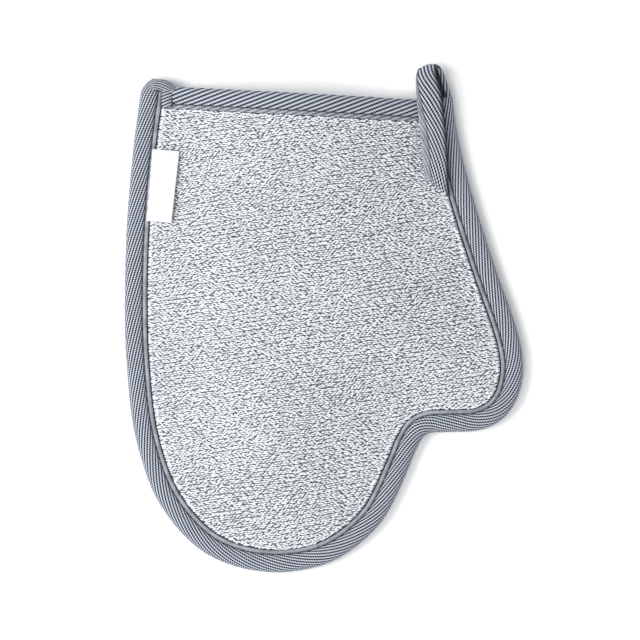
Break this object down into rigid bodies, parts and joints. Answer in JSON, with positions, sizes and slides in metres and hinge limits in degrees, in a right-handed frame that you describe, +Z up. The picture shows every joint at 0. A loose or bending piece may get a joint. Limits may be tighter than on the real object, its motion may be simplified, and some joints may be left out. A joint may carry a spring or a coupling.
{
  "type": "wash mitt",
  "caption": "Terry wash mitt with a separate thumb, a bound edge, hemmed cuff, a plain side label and a hanging loop at the cuff corner.",
  "frame": {"origin": "on the table, under the middle of the mitt's outline as it lies palm side up", "axes": "+X towards the thumb side, +Y from the fingertips to the cuff and its hanging loop, +Z up from the table"},
  "size_m": [0.1994, 0.2536, 0.0162],
  "materials": {
    "terry": "light grey melange looped terry",
    "tape": "slate grey twill-woven tape",
    "thread": "matt grey spun sewing thread",
    "label": "white woven ribbon, left plain"
  },
  "bodies": {
    "mitt": {"front_panel": "terry", "back_panel": "terry", "edge_binding": "tape", "edge_seam_needle_thread": "thread", "edge_seam_bobbin_thread": "thread", "front_cuff_binding": "tape", "front_cuff_needle_thread": "thread", "front_cuff_bobbin_thread": "thread", "back_cuff_binding": "tape", "back_cuff_needle_thread": "thread", "back_cuff_bobbin_thread": "thread", "binding_corner_fold": "tape"},
    "loop": {"hanging_loop": "tape"},
    "label": {"side_label": "label"}
  },
  "joints": [
    {"name": "loop_swing", "type": "hinge", "parent": "mitt", "child": "loop", "pos_m": [0.06001, 0.11137, 0.0091], "axis": [-0.0561, 0.9984, 0], "range_deg": [0, 120]},
    {"name": "label_flap", "type": "hinge", "parent": "mitt", "child": "label", "pos_m": [-0.08594, 0.06664, 0.00724], "axis": [-0.0879, -0.9961, 0], "range_deg": [0, 140]}
  ]
}
